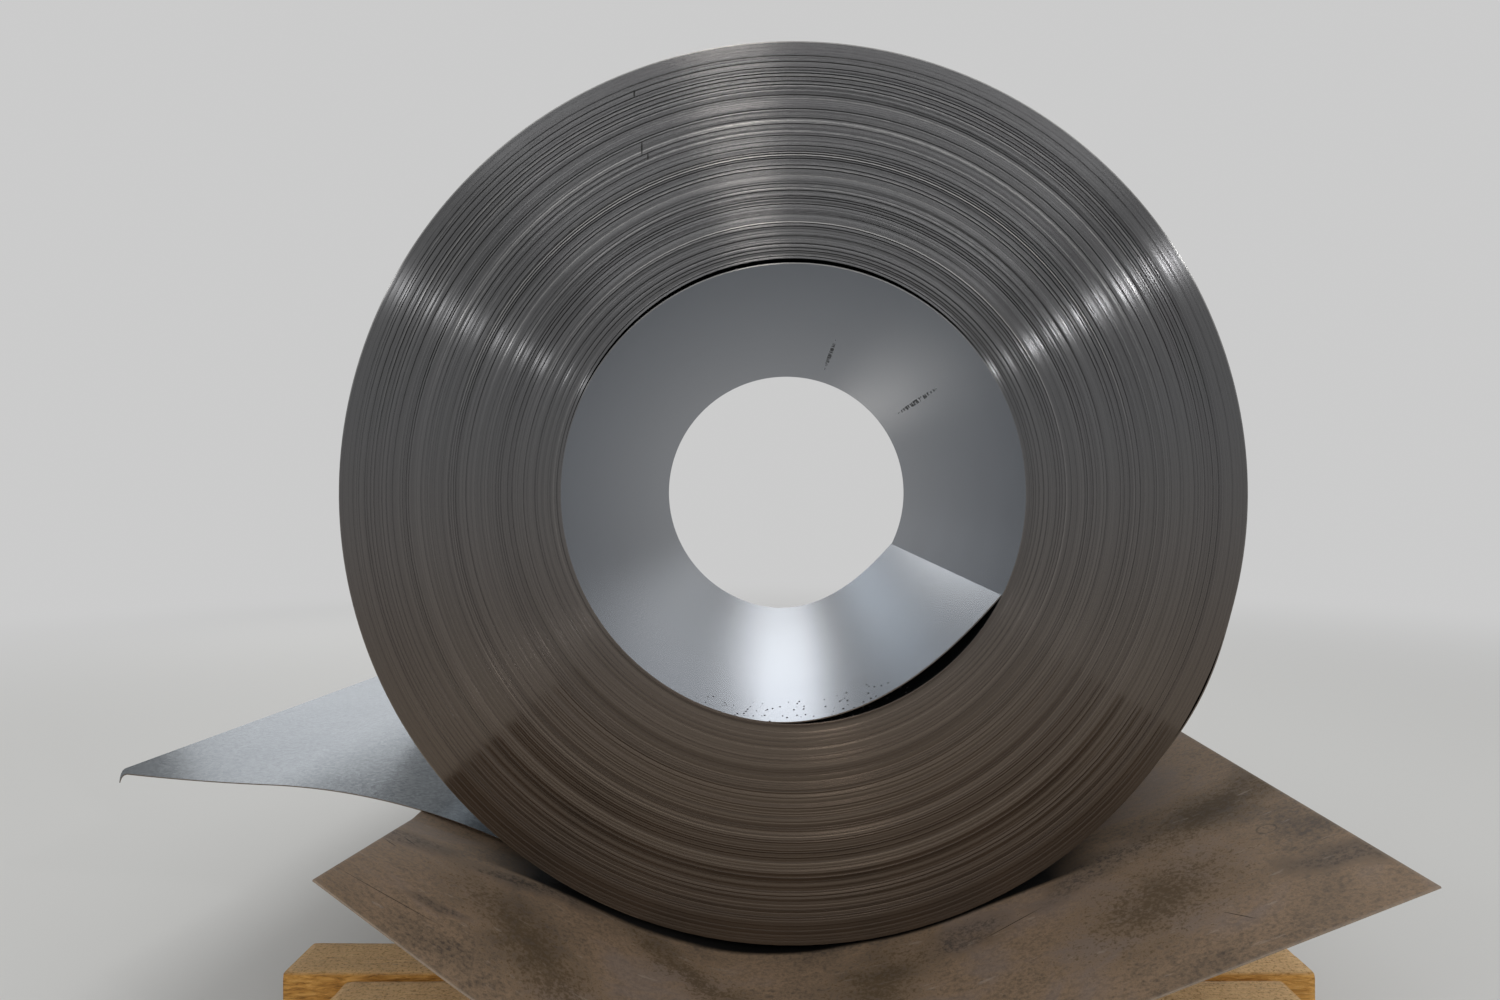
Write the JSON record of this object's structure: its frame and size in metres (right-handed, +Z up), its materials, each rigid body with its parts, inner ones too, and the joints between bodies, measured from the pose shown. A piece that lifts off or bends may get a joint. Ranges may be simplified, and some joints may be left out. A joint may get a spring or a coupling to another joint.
{
  "type": "steel coil",
  "caption": "Coil of galvanised steel strip with a sprung inner end and a loose outer tail, lying on a bent saddle sheet over timber rails and cross timbers.",
  "frame": {"origin": "middle of the bore, at half the strip's width", "axes": "+Y along the coil's axis away from the front face, +Z up, +X to the right seen from the front face"},
  "size_m": [1.7778, 1.86, 1.418],
  "materials": {
    "galvanised_strip": "hot-dip galvanised strip with a fine spangle; grey slit edges on the coil's ends",
    "old_sheet": "old mill sheet with brown stains and light rust",
    "sawn_softwood": "rough sawn softwood"
  },
  "bodies": {
    "root": {"steel_coil": "galvanised_strip", "saddle_sheet": "old_sheet", "rail_left": "sawn_softwood", "rail_right": "sawn_softwood", "cross_timber_1": "sawn_softwood", "cross_timber_2": "sawn_softwood", "cross_timber_3": "sawn_softwood", "cross_timber_4": "sawn_softwood"}
  },
  "joints": []
}
